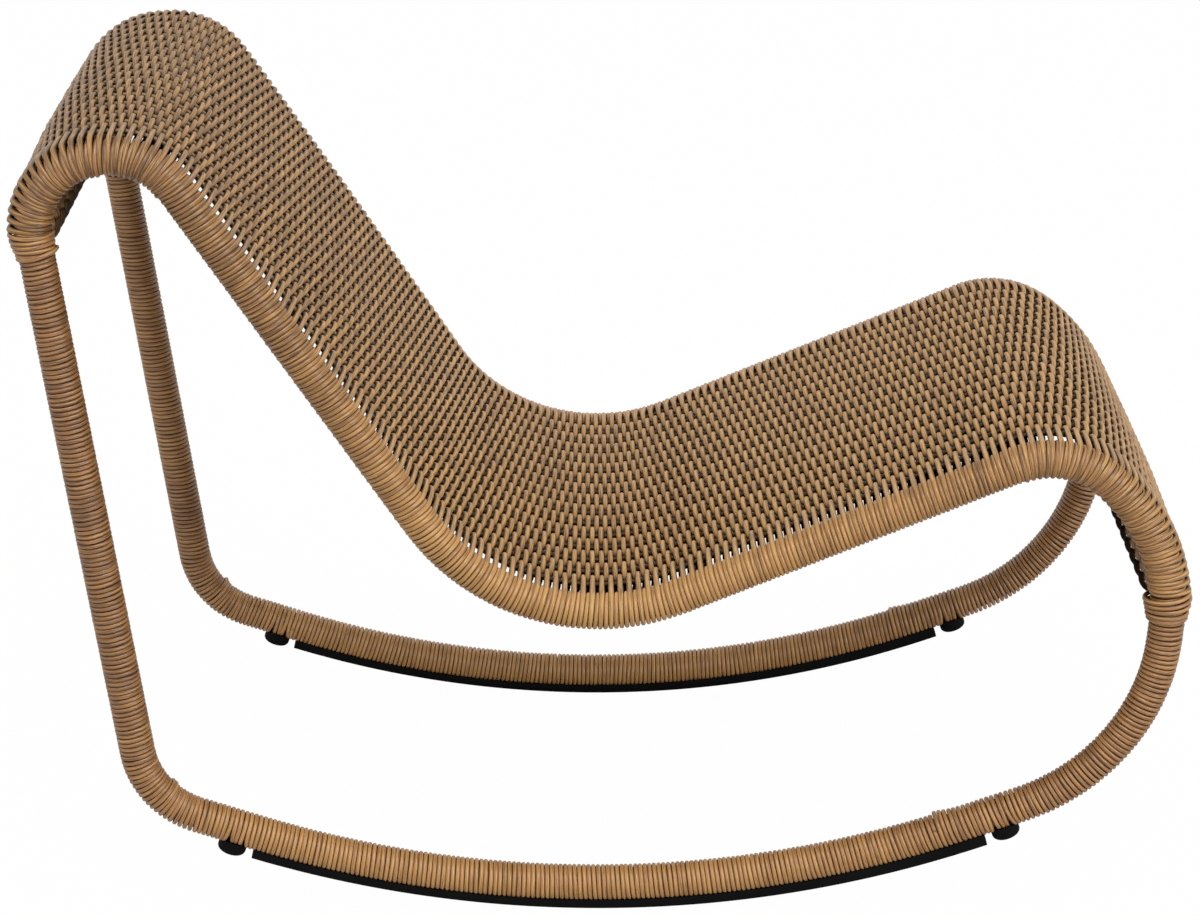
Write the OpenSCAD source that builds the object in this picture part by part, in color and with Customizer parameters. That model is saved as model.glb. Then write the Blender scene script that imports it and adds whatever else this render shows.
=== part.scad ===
// Woven rocking lounge chair on two closed tube loops.
// X runs from the head (-) to the feet (+), Y across, Z up, and the floor is at Z = 0.
// Lengths are in millimetres.

/* [Side loop corners] */
// Heel corner, rear and low: distance behind the runner corner
heel_x = -437.6; // [-460:1:-415]
// Heel corner: height above the runner corner
heel_z = 144.9; // [130:1:160]
// Heel bend radius at the tube axis
heel_r = 81; // [60:1:95]
// Runner bend radius at the tube axis
runner_r = 1015; // [900:5:1060]
// Toe corner, front and low: distance ahead of the runner corner
toe_x = 504; // [485:1:525]
// Toe corner: height above the runner corner
toe_z = 182.8; // [170:1:195]
// Toe bend radius at the tube axis
toe_r = 195; // [160:1:205]
// Shin corner: distance ahead of the runner corner
shin_x = 519.8; // [510:1:530]
// Shin corner: height above the runner corner
shin_z = 405.7; // [398:1:420]
// Shin bend radius at the tube axis
shin_r = 168; // [140:1:175]
// Knee corner: distance ahead of the runner corner
knee_x = 415.9; // [405:1:422]
// Knee corner: height above the runner corner
knee_z = 497.8; // [485:1:510]
// Knee bend radius at the tube axis
knee_r = 80; // [65:1:85]
// Seat corner, the lowest point of the seat: distance behind the runner corner
seat_x = -85.4; // [-100:1:-70]
// Seat corner: height above the runner corner
seat_z = 288.4; // [275:1:300]
// Seat bend radius at the tube axis
seat_r = 197; // [150:1:220]
// Brow corner, front of the headrest: distance behind the runner corner
brow_x = -412.2; // [-425:1:-400]
// Brow corner: height above the runner corner
brow_z = 770.6; // [755:1:785]
// Brow bend radius at the tube axis
brow_r = 62; // [50:1:68]
// Crown corner, back of the headrest: distance behind the runner corner
crown_x = -528.6; // [-540:1:-520]
// Crown corner: height above the runner corner
crown_z = 763.3; // [755:1:775]
// Crown bend radius at the tube axis
crown_r = 66; // [50:1:72]

/* [Frame] */
// Distance between the two side loops, axis to axis
loop_spacing = 531; // [480:1:600]
// Outer diameter of the frame tube
tube_d = 25; // [22:0.5:28]
// Wall of the frame tube
tube_wall = 1.5; // [1.2:0.1:2.5]
// Length of the sleeve inside each tube joint
sleeve_len = 60; // [40:1:80]
// Wall of the joint sleeve
sleeve_wall = 1.5; // [1:0.1:2]
// Clearance of the sleeve in the tube bore
sleeve_fit = 0.1; // [0.05:0.05:0.3]
// Diameter of the two wrapped cross bars that end the weave
end_bar_d = 19; // [16:0.5:19.5]
// Diameter of the cross bars under the weave
under_bar_d = 19; // [16:0.5:20]
// How far every cross bar sits inward of the tube axis
bar_drop = 3; // [2.8:0.1:4]
// Wall of every cross bar
bar_wall = 1.5; // [1.2:0.1:2.5]
// Share of the back length from the seat bend up to the back bar
back_bar_at = 0.55; // [0.3:0.01:0.7]
// Distance of the bars under the seat from the ends of its straight run
seat_bar_inset = 22; // [18:1:50]

/* [Strand and wrap] */
// Diameter of the round strand
strand_d = 4.4; // [3.6:0.1:4.8]
// Gap between a wrap and what lies on it or under it
wrap_fit = 0.15; // [0.1:0.05:0.3]
// Gap between neighbouring wraps along the tube
wrap_seam = 0.3; // [0.2:0.1:0.5]
// Heel wrap: start, along the loop from the top of the heel bend
heel_wrap_start = 60; // [45:1:75]
// Heel wrap: end, along the loop from the top of the heel bend
heel_wrap_end = 141.5; // [132:1:150]
// Runner wrap: end, along the loop from the start of the runner bend
runner_wrap_len = 652; // [600:1:660]

/* [Weave] */
// Number of stakes that run from the head to the feet
stake_count = 16; // [12:2:18]
// Height of the stake axes above the tube axes
weave_lift = 18; // [17.8:0.1:22]
// Distance of the front end of the weave above the start of the shin bend
front_weave_at = 30; // [24:1:40]
// Width of the openings between the stakes of the flat panels
eye_w = 8; // [3:0.5:12]
// Length of the openings along the chair
eye_len = 9; // [5:0.5:14]
// Distance from one row of openings to the next, along the chair
eye_pitch = 18; // [16:0.5:36]
// Distance of an end bar from the end of the weave, along the loop
end_bar_inset = 6; // [5:1:12]

/* [Lashing] */
// Turns in each lashing
lash_turns = 5; // [3:1:6]
// Pitch of the lashing turns along the tube axis
lash_pitch = 5.6; // [5.5:0.1:6.5]
// Gap between a lashing and the wrap under it
lash_fit = 0.3; // [0.2:0.1:0.6]

/* [Runner strips and feet] */
// Width of the runner strip
strip_w = 20; // [16:0.5:24]
// Thickness of the strip under the tube at the middle and the rear
strip_t = 6; // [5:0.1:8]
// Thickness of the strip under the tube at the front end
strip_front_t = 8.5; // [7:0.1:10]
// Height of the upright side of the strip below the wrap axis
strip_side_h = 18.5; // [17.5:0.1:20]
// Width taken off each side of the strip at the floor
strip_chamfer = 2; // [1:0.1:3]
// Gap between the strip and the wrap it cradles
strip_fit = 0.2; // [0.1:0.05:0.4]
// Start of the strip, along the loop from the top of the heel bend
strip_start = 149.5; // [141:0.5:150]
// Length of the strip along the tube axis
strip_len = 693; // [640:1:705]
// Screws in each strip
strip_screws_n = 4; // [3:1:6]
// Diameter of the strip screw
strip_screw_d = 4; // [3.5:0.1:5]
// Diameter of the stop feet
foot_d = 27; // [22:0.5:30]
// Height of the stop feet below the wrap
foot_h = 8.5; // [7:0.1:10]
// Distance of each foot centre from the end of the strip
foot_gap = 20.5; // [18:0.5:26]
// Diameter of the foot screw
foot_screw_d = 6; // [5:0.1:7]

/* [Hidden] */
$fn = 48;

cane = "#a07a4c";
dark_cane = "#8a6640";
tube_brown = "#5a4634";
black = "#1d1d1f";
steel = "#b8bbbe";

// Derived radii
tube_r = tube_d / 2;
bore_r = tube_r - tube_wall;
strand_r = strand_d / 2;
wrap_r = tube_r + strand_d + wrap_fit;
end_bar_r = end_bar_d / 2;
bar_wrap_r = end_bar_r + strand_d;
half_w = loop_spacing / 2;
// Axis of a lashing strand, and the bar between the lashings of both sides
lash_r = wrap_r + lash_fit + strand_r;
bar_wrap_len = loop_spacing - 2 * (lash_r + strand_r + wrap_seam);

// The loop as corners [x, z, bend radius], walked from the heel over the toe to the crown
corners = [
    [heel_x, heel_z, heel_r], [0, 0, runner_r], [toe_x, toe_z, toe_r], [shin_x, shin_z, shin_r],
    [knee_x, knee_z, knee_r], [seat_x, seat_z, seat_r], [brow_x, brow_z, brow_r],
    [crown_x, crown_z, crown_r]];
corner_n = len(corners);
HEEL = 0;
RUNNER = 1;
TOE = 2;
SHIN = 3;
KNEE = 4;
SEAT = 5;
BROW = 6;
CROWN = 7;

function unit(v) = v / norm(v);
function heading(v) = atan2(v[1], v[0]);
function left_of(d) = [-d[1], d[0]];
function turn_of(a) = a > 180 ? a - 360 : a <= -180 ? a + 360 : a;
function total(v, n) = n == 0 ? 0 : v[n - 1] + total(v, n - 1);

// Tables with one entry for each corner: the straight runs and the bends between them
each_corner = [0:corner_n - 1];
function prev_i(i) = (i + corner_n - 1) % corner_n;
function next_i(i) = (i + 1) % corner_n;
pts = [for (c = corners) [c[0], c[1]]];
bends = [for (c = corners) c[2]];
dirs = [for (i = each_corner) unit(pts[next_i(i)] - pts[i])];
turns = [for (i = each_corner) turn_of(heading(dirs[i]) - heading(dirs[prev_i(i)]))];
sides = [for (a = turns) a > 0 ? 1 : -1];
tangents = [for (i = each_corner) bends[i] * tan(abs(turns[i]) / 2)];
arc_lens = [for (i = each_corner) bends[i] * abs(turns[i]) * PI / 180];
run_lens = [for (i = each_corner)
    norm(pts[next_i(i)] - pts[i]) - tangents[i] - tangents[next_i(i)]];
arc_starts = [for (i = each_corner) pts[i] - dirs[prev_i(i)] * tangents[i]];
arc_ends = [for (i = each_corner) pts[i] + dirs[i] * tangents[i]];
centres = [for (i = each_corner)
    arc_starts[i] + left_of(dirs[prev_i(i)]) * bends[i] * sides[i]];
// Distance along the loop to the start and to the end of each bend
at_arc = [for (i = each_corner) total(arc_lens, i) + total(run_lens, i)];
past_arc = [for (i = each_corner) at_arc[i] + arc_lens[i]];
loop_len = total(arc_lens, corner_n) + total(run_lens, corner_n);

// Corner, direction of travel and point at distance s along the loop
function corner_at(s) = len([for (a = at_arc) if (a <= s + 0.00001) 1]) - 1;
function dir_in(i, d) =
    let (a = heading(dirs[prev_i(i)]) + sides[i] * min(d, arc_lens[i]) / bends[i] * 180 / PI)
    [cos(a), sin(a)];
function loop_dir(s0) =
    let (s = s0 % loop_len, i = corner_at(s))
    dir_in(i, s - at_arc[i]);
function loop_point(s0) =
    let (s = s0 % loop_len, i = corner_at(s), d = s - at_arc[i], dir = dir_in(i, d))
    d <= arc_lens[i] ? centres[i] - left_of(dir) * bends[i] * sides[i]
        : arc_ends[i] + dir * (d - arc_lens[i]);
function outward(s) = -left_of(loop_dir(s));

// Places along the loop
weave_front = at_arc[SHIN] + front_weave_at;
weave_rear = past_arc[CROWN];
lash_len = lash_turns * lash_pitch;
front_lash = weave_front - wrap_seam - strand_d - lash_len;
rear_lash = weave_rear + wrap_seam + strand_d;
front_joint = front_lash + lash_len / 2;
rear_joint = rear_lash + lash_len / 2;
front_bar_at = weave_front + end_bar_inset;
head_bar_at = weave_rear - end_bar_inset;
back_bar_s = past_arc[SEAT] + back_bar_at * run_lens[SEAT];
seat_front_s = past_arc[KNEE] + seat_bar_inset;
seat_rear_s = at_arc[SEAT] - seat_bar_inset;
runner_wrap_start = heel_wrap_end + wrap_seam;
runner_wrap_end = at_arc[RUNNER] + runner_wrap_len;
strip_end = strip_start + strip_len;
rear_foot_s = strip_start - foot_gap;
front_foot_s = strip_end + foot_gap;

// The strip's floor face is an arc of its own, so that the strip thickens to the front
strip_top_r = runner_r + wrap_r;
runner_c = centres[RUNNER];
function swing(s) = heading(loop_point(s) - runner_c) + 90;
rear_swing = swing(strip_start);
front_swing = swing(strip_end);
thicken = strip_front_t - strip_t;
rear_k = (1 - cos(rear_swing)) / -sin(rear_swing);
tread_drop = thicken / (sin(front_swing) * rear_k + 1 - cos(front_swing));
tread_shift = tread_drop * rear_k;
tread_r = strip_top_r + strip_t + tread_drop;
tread_c = runner_c + [tread_shift, tread_drop];
ground = tread_c[1] - tread_r;

// The finished chair stands on Z = 0 with its length centred on X = 0
weave_top = weave_lift + strand_r + strand_d;
loop_steps = [for (s = [0:4:loop_len]) s];
front_reach = max([for (s = loop_steps) loop_point(s)[0]]) + weave_top;
rear_reach = min([for (s = loop_steps) loop_point(s)[0]]) - weave_top;
shift_x = -(front_reach + rear_reach) / 2;

module stand() {
    translate([shift_x, 0, -ground]) children();
}

// Sweeps the first child, a flat section, along the loop from s0 to s1. The section's X
// points outward from the loop and its Y becomes the chair's -Y. The second child is the
// same section, a little slimmer: a short length of it joins each bend to the next run, so
// that a fine groove marks the place where the bend begins.
SEAM_GAP = 0.15;
SEAM_HALF = 1.2;
SEAM_SLIM = 0.3;

module sweep(s0, s1) {
    rotate([90, 0, 0])
        for (k = [0:2 * corner_n - 1]) {
            i = k % corner_n;
            base = k < corner_n ? 0 : loop_len;
            bend_from = base + at_arc[i];
            run_from = base + past_arc[i];
            run_to = run_from + run_lens[i];
            sweep_bend(i, base, trim_in(bend_from, s0), trim_out(run_from, s1)) children(0);
            sweep_run(i, base, trim_in(run_from, s0), trim_out(run_to, s1)) children(0);
            for (s = [bend_from, run_from])
                if (s > s0 + SEAM_HALF && s < s1 - SEAM_HALF) seam(s - base) children(1);
        }
}

function trim_in(from, s0) = s0 > from - 0.001 ? s0 : from + SEAM_GAP;
function trim_out(to, s1) = s1 < to + 0.001 ? s1 : to - SEAM_GAP;

module sweep_bend(i, base, s0, s1) {
    if (s1 - s0 > 0.01) {
        side = sides[i];
        span = (s1 - s0) / bends[i] * 180 / PI;
        u0 = -left_of(loop_dir(s0 - base)) * side;
        translate([centres[i][0], centres[i][1], 0])
            rotate([0, 0, side > 0 ? heading(u0) : heading(u0) - span])
                rotate_extrude(angle = span, $fn = 180)
                    translate([bends[i], 0])
                        mirror([side > 0 ? 0 : 1, 0]) children();
    }
}

module sweep_run(i, base, s0, s1) {
    if (s1 - s0 > 0.01)
        along(arc_ends[i] + dirs[i] * (s0 - base - past_arc[i]), dirs[i], s1 - s0) children();
}

module seam(s) {
    dir = loop_dir(s);
    along(loop_point(s) - dir * SEAM_HALF, dir, 2 * SEAM_HALF) children();
}

// Extrudes a section from point p of the loop plane in direction dir
module along(p, dir, length) {
    translate([p[0], p[1], 0])
        rotate([0, 0, heading(dir)])
            rotate([90, 0, 90])
                linear_extrude(height = length)
                    mirror([1, 0]) children();
}

// A tube section and its slimmer seam
module tube_sweep(s0, s1, outer, inner) {
    sweep(s0, s1) {
        ring(outer, inner);
        ring(outer - SEAM_SLIM, inner + SEAM_SLIM);
    }
}

// A solid rod along the loop, which only ever cuts, so its seam is a hair fuller
module rod_sweep(s0, s1, r) {
    sweep(s0, s1) {
        circle(r);
        circle(r + 0.05);
    }
}

module ring(outer, inner) {
    difference() {
        circle(outer);
        circle(inner);
    }
}

// side is -1 for the right loop and 1 for the left loop
module on_side(side) {
    translate([0, side * half_w, 0]) children();
}

// Something across the chair, set at distance s along the loop and inward of the tube axis
module across(s) {
    p = loop_point(s) - outward(s) * bar_drop;
    translate([p[0], 0, p[1]]) rotate([90, 0, 0]) children();
}

module bar_holes(extra) {
    for (s = [head_bar_at, front_bar_at])
        across(s) cylinder(h = loop_spacing, r = end_bar_r + extra, center = true);
    for (s = [back_bar_s, seat_front_s, seat_rear_s])
        across(s) cylinder(h = loop_spacing, r = under_bar_d / 2 + extra, center = true);
}

// Something that points outward from the loop at distance s, such as a screw
module pointing_out(s, side) {
    p = loop_point(s);
    translate([p[0], side * half_w, p[1]])
        rotate([0, 90 - heading(outward(s)), 0])
            children();
}

function strip_screw_s(k) = strip_start + strip_len * (k + 0.5) / strip_screws_n;

module drill_runner(side, extra) {
    for (k = [0:strip_screws_n - 1])
        pointing_out(strip_screw_s(k), side)
            cylinder(h = 2 * wrap_r, r = strip_screw_d / 2 + extra, $fn = 24);
    for (s = [rear_foot_s, front_foot_s])
        pointing_out(s, side) cylinder(h = 2 * wrap_r, r = foot_screw_d / 2 + extra, $fn = 24);
}

module rocker_tube(side) {
    color(tube_brown) stand()
        difference() {
            on_side(side) tube_sweep(rear_joint, loop_len + front_joint, tube_r, bore_r);
            drill_runner(side, wrap_fit);
        }
}

module rail_tube(side) {
    color(tube_brown) stand()
        on_side(side) tube_sweep(front_joint, rear_joint, tube_r, bore_r);
}

module joint_sleeves(s) {
    outer = bore_r - sleeve_fit;
    color(steel) stand()
        for (side = [-1, 1])
            on_side(side)
                tube_sweep(s - sleeve_len / 2, s + sleeve_len / 2, outer, outer - sleeve_wall);
}

module crossbar(s, d) {
    color(tube_brown) stand()
        difference() {
            across(s)
                difference() {
                    cylinder(h = loop_spacing, r = d / 2, center = true);
                    cylinder(h = loop_spacing + 2, r = d / 2 - bar_wall, center = true);
                }
            for (side = [-1, 1])
                on_side(side) rod_sweep(s - d, s + d, tube_r + wrap_fit);
        }
}

module crossbar_wrap(s) {
    color(dark_cane) stand()
        across(s)
            difference() {
                cylinder(h = bar_wrap_len, r = bar_wrap_r, center = true);
                cylinder(h = loop_spacing, r = end_bar_r + wrap_fit / 2, center = true);
            }
}

// The close winding on the tube, one strand thick
module wrap(side, s0, s1) {
    color(cane) stand()
        difference() {
            on_side(side) tube_sweep(s0, s1, wrap_r, tube_r + wrap_fit);
            bar_holes(wrap_fit);
            drill_runner(side, wrap_fit);
        }
}

// Cross-section of the weave: wefts pass over and under the stakes in turn, so it is
// thickest on each stake and one strand thick halfway between two stakes.
stake_pitch = loop_spacing / (stake_count + 1);
function stake_y(k) = (k - (stake_count - 1) / 2) * stake_pitch;
edge_top = [wrap_r + 0.6, half_w - 6];
edge_low = [weave_lift - strand_d - strand_r, half_w - wrap_r + 3.4];
points_per_stake = 4;
mat_steps = [for (k = [0:(stake_count - 1) * points_per_stake]) k];
function mat_y(k) = stake_y(0) + k * stake_pitch / points_per_stake;
function mat_half(k) = strand_r + strand_d * abs(cos(180 * k / points_per_stake));

module mat_section(extra = 0) {
    top = [for (k = mat_steps) [weave_lift + mat_half(k) + extra, mat_y(k)]];
    low = [for (k = mat_steps) [weave_lift - mat_half(k) - extra, -mat_y(k)]];
    rim = edge_top + [extra, extra];
    foot = edge_low + [-extra, extra];
    difference() {
        polygon(concat(top, [rim, foot], low, [[foot[0], -foot[1]], [rim[0], -rim[1]]]));
        stake_section(wrap_fit - extra);
    }
}

module stake_section(extra) {
    for (k = [0:stake_count - 1])
        translate([weave_lift, stake_y(k)]) circle(strand_r + extra, $fn = 24);
}

module mat(s0, s1) {
    color(cane) stand()
        sweep(s0, s1) {
            mat_section();
            mat_section(-SEAM_SLIM);
        }
}

// Solid strip kept at both ends of a flat panel
eye_margin = 4;

// A flat panel is open between the stakes: rows of openings, each row shifted by one stake
module open_mat(i, s0, s1) {
    rows = floor((s1 - s0 - eye_len - 2 * eye_margin) / eye_pitch) + 1;
    first = (s0 + s1 - (rows - 1) * eye_pitch - eye_len) / 2;
    difference() {
        mat(s0, s1);
        color(cane) stand() rotate([90, 0, 0])
            for (row = [0:rows - 1]) {
                s = first + row * eye_pitch;
                along(arc_ends[i] + dirs[i] * (s - past_arc[i]), dirs[i], eye_len)
                    for (k = [row % 2:2:stake_count - 2])
                        translate([weave_lift, stake_y(k) + stake_pitch / 2])
                            square([4 * strand_d, eye_w], center = true);
            }
    }
}

module weave_stakes() {
    color(dark_cane) stand()
        sweep(weave_front, weave_rear) {
            stake_section(0);
            stake_section(-SEAM_SLIM);
        }
}

// Lashing: one strand wound over the end of the wrap
LASH_SIDES = 6;
LASH_RINGS = 24;
lash_ring_n = lash_turns * LASH_RINGS;

function lash_place(s0, a, r) =
    let (s = s0 + a / 360 * lash_pitch, p = loop_point(s), o = outward(s))
    [p[0] + o[0] * r * cos(a), r * sin(a), p[1] + o[1] * r * cos(a)];
function lash_ring(s0, a) =
    let (c = lash_place(s0, a, lash_r), o = unit(lash_place(s0, a, lash_r + 1) - c))
    let (t = unit(lash_place(s0, a + 1, lash_r) - lash_place(s0, a - 1, lash_r)))
    let (b = unit(cross(t, o)))
    [for (j = [0:LASH_SIDES - 1])
        c + strand_r * (cos(j * 360 / LASH_SIDES) * o + sin(j * 360 / LASH_SIDES) * b)];

function lash_points(s0) = [for (k = [0:lash_ring_n]) each lash_ring(s0, k * 360 / LASH_RINGS)];
function lash_quad(k, j) =
    let (a = k * LASH_SIDES + j, b = k * LASH_SIDES + (j + 1) % LASH_SIDES)
    [[a, b, b + LASH_SIDES], [a, b + LASH_SIDES, a + LASH_SIDES]];
lash_faces = concat(
    [[for (j = [LASH_SIDES - 1:-1:0]) j]],
    [for (k = [0:lash_ring_n - 1]) for (j = [0:LASH_SIDES - 1]) each lash_quad(k, j)],
    [[for (j = [0:LASH_SIDES - 1]) lash_ring_n * LASH_SIDES + j]]);

module lashing(side, s0) {
    color(cane) stand()
        on_side(side) polyhedron(points = lash_points(s0), faces = lash_faces, convexity = 10);
}

// Least gap between neighbouring turns, measured on points of the strand axis
function lash_gap(s0) = min([for (k = [0:lash_ring_n - LASH_RINGS])
    norm(lash_place(s0, k * 360 / LASH_RINGS, lash_r)
        - lash_place(s0, (k + LASH_RINGS) * 360 / LASH_RINGS, lash_r)) - strand_d]);
echo(front_lashing_least_gap = lash_gap(front_lash), rear_lashing_least_gap = lash_gap(rear_lash));

// Runner strip: cradles the wrap, with an upright side and a tapered floor edge
strip_deep = strip_top_r + strip_front_t + 2 - runner_r;

module strip_section(extra = 0) {
    half = strip_w / 2 + extra;
    foot_half = half - strip_chamfer;
    top = wrap_r - 5 - extra;
    difference() {
        polygon([[top, -half], [strip_side_h, -half], [strip_deep, -foot_half],
            [strip_deep, foot_half], [strip_side_h, half], [top, half]]);
        circle(wrap_r + strip_fit - extra);
    }
}

head_room = 2.4;

module runner_strip(side) {
    color(black) stand()
        difference() {
            intersection() {
                on_side(side) sweep(strip_start, strip_end) {
                    strip_section();
                    strip_section(-SEAM_SLIM);
                }
                translate([tread_c[0], side * half_w, tread_c[1]])
                    rotate([90, 0, 0]) cylinder(h = strip_w + 2, r = tread_r, center = true, $fn = 360);
            }
            for (k = [0:strip_screws_n - 1])
                pointing_out(strip_screw_s(k), side) {
                    cylinder(h = 3 * wrap_r, r = strip_screw_d / 2 + wrap_fit, $fn = 24);
                    translate([0, 0, wrap_r + head_room])
                        cylinder(h = 2 * wrap_r, r = strip_screw_d + wrap_fit, $fn = 24);
                }
        }
}

module strip_screws() {
    color(steel) stand()
        for (side = [-1, 1]) for (k = [0:strip_screws_n - 1])
            pointing_out(strip_screw_s(k), side) {
                translate([0, 0, bore_r - 4])
                    cylinder(h = wrap_r + head_room + 0.1 - bore_r + 4, r = strip_screw_d / 2, $fn = 24);
                translate([0, 0, wrap_r + head_room])
                    cylinder(h = strip_screw_d * 0.45, r = strip_screw_d - wrap_fit, $fn = 24);
            }
}

// Stop foot: a low dome with a saddle for the wrap and a sunk screw head
foot_edge = 4.5;
foot_sink = 4;

module foot_profile() {
    r = foot_d / 2;
    intersection() {
        dome_outline(r);
        square([r, wrap_r + foot_h]);
    }
}

module dome_outline(r) {
    translate([0, wrap_r - 4.5]) square([r - foot_edge, foot_h + 4.5]);
    translate([0, wrap_r - 4.5]) square([r, foot_h + 4.5 - foot_edge]);
    translate([r - foot_edge, wrap_r + foot_h - foot_edge]) circle(foot_edge);
}

module stop_foot(side, s) {
    color(black) stand()
        difference() {
            pointing_out(s, side) rotate_extrude() foot_profile();
            on_side(side) rod_sweep(s - foot_d, s + foot_d, wrap_r + strip_fit);
            pointing_out(s, side) {
                cylinder(h = 3 * wrap_r, r = foot_screw_d / 2 + wrap_fit, $fn = 24);
                translate([0, 0, wrap_r + foot_h - foot_sink])
                    cylinder(h = wrap_r, r = foot_screw_d * 0.85 + wrap_fit, $fn = 24);
            }
        }
}

module foot_screws() {
    color(steel) stand()
        for (side = [-1, 1]) for (s = [rear_foot_s, front_foot_s])
            pointing_out(s, side) {
                translate([0, 0, bore_r - 6])
                    cylinder(h = wrap_r + foot_h - foot_sink + 6.1 - bore_r, r = foot_screw_d / 2, $fn = 24);
                translate([0, 0, wrap_r + foot_h - foot_sink])
                    cylinder(h = foot_sink - 1, r = foot_screw_d * 0.85, $fn = 24);
            }
}

rocker_tube(-1);  // right_rocker_tube
rocker_tube(1);  // left_rocker_tube
rail_tube(-1);  // right_rail_tube
rail_tube(1);  // left_rail_tube
joint_sleeves(rear_joint);  // rear_joint_sleeves
joint_sleeves(front_joint);  // front_joint_sleeves
crossbar(head_bar_at, end_bar_d);  // head_crossbar
crossbar(back_bar_s, under_bar_d);  // back_crossbar
crossbar(seat_rear_s, under_bar_d);  // seat_rear_crossbar
crossbar(seat_front_s, under_bar_d);  // seat_front_crossbar
crossbar(front_bar_at, end_bar_d);  // front_crossbar
wrap(-1, weave_rear + wrap_seam, loop_len + heel_wrap_start);  // right_leg_wrap
wrap(1, weave_rear + wrap_seam, loop_len + heel_wrap_start);  // left_leg_wrap
wrap(-1, heel_wrap_start + wrap_seam, heel_wrap_end);  // right_heel_wrap
wrap(1, heel_wrap_start + wrap_seam, heel_wrap_end);  // left_heel_wrap
wrap(-1, runner_wrap_start, runner_wrap_end);  // right_runner_wrap
wrap(1, runner_wrap_start, runner_wrap_end);  // left_runner_wrap
wrap(-1, runner_wrap_end + wrap_seam, weave_front - wrap_seam);  // right_toe_wrap
wrap(1, runner_wrap_end + wrap_seam, weave_front - wrap_seam);  // left_toe_wrap
wrap(-1, weave_front, weave_rear);  // right_rail_wrap
wrap(1, weave_front, weave_rear);  // left_rail_wrap
crossbar_wrap(head_bar_at);  // head_crossbar_wrap
crossbar_wrap(front_bar_at);  // front_crossbar_wrap
lashing(-1, rear_lash);  // right_head_lashing
lashing(1, rear_lash);  // left_head_lashing
lashing(-1, front_lash);  // right_front_lashing
lashing(1, front_lash);  // left_front_lashing
weave_stakes();
mat(at_arc[BROW] + wrap_seam, weave_rear);  // head_weave
open_mat(SEAT, past_arc[SEAT] + wrap_seam, at_arc[BROW]);  // back_weave
mat(at_arc[SEAT] + wrap_seam, past_arc[SEAT]);  // lumbar_weave
open_mat(KNEE, past_arc[KNEE] + wrap_seam, at_arc[SEAT]);  // seat_weave
mat(at_arc[KNEE] + wrap_seam, past_arc[KNEE]);  // knee_weave
mat(weave_front, at_arc[KNEE]);  // shin_weave
runner_strip(-1);  // right_runner_strip
runner_strip(1);  // left_runner_strip
strip_screws();
stop_foot(-1, rear_foot_s);  // right_rear_foot
stop_foot(-1, front_foot_s);  // right_front_foot
stop_foot(1, rear_foot_s);  // left_rear_foot
stop_foot(1, front_foot_s);  // left_front_foot
foot_screws();
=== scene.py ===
"""Woven rocking lounge chair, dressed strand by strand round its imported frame.

X runs from the head (-) to the feet (+), Y across and Z up. The sizes below are in
millimetres; every mesh is in metres.
"""

import logging
import math
from dataclasses import dataclass, field
from enum import Enum
from typing import Optional, Sequence

import bmesh
import bpy
import numpy as np
from mathutils import Matrix, Vector


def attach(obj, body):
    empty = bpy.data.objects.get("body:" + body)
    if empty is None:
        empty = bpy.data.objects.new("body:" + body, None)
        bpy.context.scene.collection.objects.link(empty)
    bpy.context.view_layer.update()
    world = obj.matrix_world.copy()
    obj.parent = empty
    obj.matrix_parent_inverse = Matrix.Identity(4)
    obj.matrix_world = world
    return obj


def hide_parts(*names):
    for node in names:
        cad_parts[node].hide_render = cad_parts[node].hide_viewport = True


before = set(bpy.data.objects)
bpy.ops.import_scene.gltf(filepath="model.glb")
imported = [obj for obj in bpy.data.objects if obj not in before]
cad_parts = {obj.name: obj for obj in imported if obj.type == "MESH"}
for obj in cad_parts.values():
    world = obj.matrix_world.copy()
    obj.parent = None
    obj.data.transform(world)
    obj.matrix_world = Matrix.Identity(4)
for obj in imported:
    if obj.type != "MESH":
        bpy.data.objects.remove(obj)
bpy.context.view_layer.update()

MM = 0.001
TURN = 2.0 * math.pi
WHITE = (1.0, 1.0, 1.0, 1.0)
log = logging.getLogger("rocking_chair")


# ---- small helpers


def linear(hex_colour: str) -> tuple[float, float, float, float]:
    """Turns an sRGB hex colour into Blender's linear colour.

    Args:
        hex_colour: Six hex digits after a hash.

    Returns:
        Red, green, blue and an alpha of 1.
    """
    parts = [int(hex_colour[i : i + 2], 16) / 255 for i in (1, 3, 5)]
    red, green, blue = (
        c / 12.92 if c <= 0.04045 else ((c + 0.055) / 1.055) ** 2.4 for c in parts
    )
    return red, green, blue, 1.0


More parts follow.
